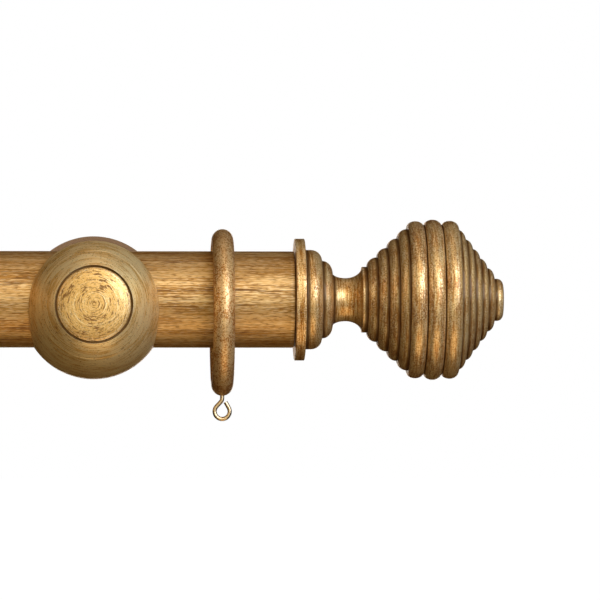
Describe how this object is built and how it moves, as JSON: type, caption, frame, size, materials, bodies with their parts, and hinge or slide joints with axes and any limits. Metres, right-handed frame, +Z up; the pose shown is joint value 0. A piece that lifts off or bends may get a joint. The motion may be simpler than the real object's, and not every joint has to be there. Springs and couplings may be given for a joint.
{
  "type": "curtain pole with brackets",
  "caption": "Round wooden curtain pole with ribbed turned finials, resting in open-topped turned cup brackets, with sliding wooden rings that carry screw eyes for the curtain hooks.",
  "frame": {"origin": "centre of the right-hand bracket's wall face, on the line that the bracket is turned about", "axes": "+X along the pole to the right, seen from the room; +Y into the wall; +Z up"},
  "size_m": [1.1172, 0.1488, 0.1045],
  "materials": {
    "gilt_wood": "turned hardwood, brushed antique gilt over brown, satin lacquer",
    "gilt_pole": "open-grained hardwood, rubbed antique gilt, satin lacquer",
    "gilt_ring": "turned hardwood, mottled antique gilt over brown, satin lacquer",
    "plated_steel": "zinc-plated pressed steel",
    "screw_steel": "yellow-zinc-plated steel",
    "brass": "pale brassed wire"
  },
  "bodies": {
    "brackets": {"wall_plate_right": "plated_steel", "rose_right": "gilt_wood", "stem_right": "gilt_wood", "stem_insert_right": "brass", "cup_right": "gilt_wood", "cup_screw_right": "screw_steel", "wall_plate_left": "plated_steel", "rose_left": "gilt_wood", "stem_left": "gilt_wood", "stem_insert_left": "brass", "cup_left": "gilt_wood", "cup_screw_left": "screw_steel"},
    "pole": {"pole": "gilt_pole", "finial_right": "gilt_wood", "finial_screw_right": "screw_steel", "finial_left": "gilt_wood", "finial_screw_left": "screw_steel"},
    "ring_01": {"ring_01": "gilt_ring", "screw_eye_01": "brass"},
    "ring_02": {"ring_02": "gilt_ring", "screw_eye_02": "brass"},
    "ring_03": {"ring_03": "gilt_ring", "screw_eye_03": "brass"},
    "ring_04": {"ring_04": "gilt_ring", "screw_eye_04": "brass"},
    "ring_05": {"ring_05": "gilt_ring", "screw_eye_05": "brass"},
    "ring_06": {"ring_06": "gilt_ring", "screw_eye_06": "brass"},
    "ring_07": {"ring_07": "gilt_ring", "screw_eye_07": "brass"},
    "ring_08": {"ring_08": "gilt_ring", "screw_eye_08": "brass"}
  },
  "joints": [
    {"name": "pole_lift", "type": "slide", "parent": "brackets", "child": "pole", "axis": [0, 0, 1], "range_m": [0, 0.065]},
    {"name": "ring_01_slide", "type": "slide", "parent": "pole", "child": "ring_01", "axis": [1, 0, 0], "range_m": [-0.022, 0.031]},
    {"name": "ring_02_slide", "type": "slide", "parent": "pole", "child": "ring_02", "axis": [1, 0, 0], "range_m": [-0.085, 0.054]},
    {"name": "ring_03_slide", "type": "slide", "parent": "pole", "child": "ring_03", "axis": [1, 0, 0], "range_m": [-0.085, 0.085]},
    {"name": "ring_04_slide", "type": "slide", "parent": "pole", "child": "ring_04", "axis": [1, 0, 0], "range_m": [-0.085, 0.085]},
    {"name": "ring_05_slide", "type": "slide", "parent": "pole", "child": "ring_05", "axis": [1, 0, 0], "range_m": [-0.085, 0.085]},
    {"name": "ring_06_slide", "type": "slide", "parent": "pole", "child": "ring_06", "axis": [1, 0, 0], "range_m": [-0.085, 0.085]},
    {"name": "ring_07_slide", "type": "slide", "parent": "pole", "child": "ring_07", "axis": [1, 0, 0], "range_m": [-0.054, 0.085]},
    {"name": "ring_08_slide", "type": "slide", "parent": "pole", "child": "ring_08", "axis": [1, 0, 0], "range_m": [-0.031, 0.022]}
  ]
}
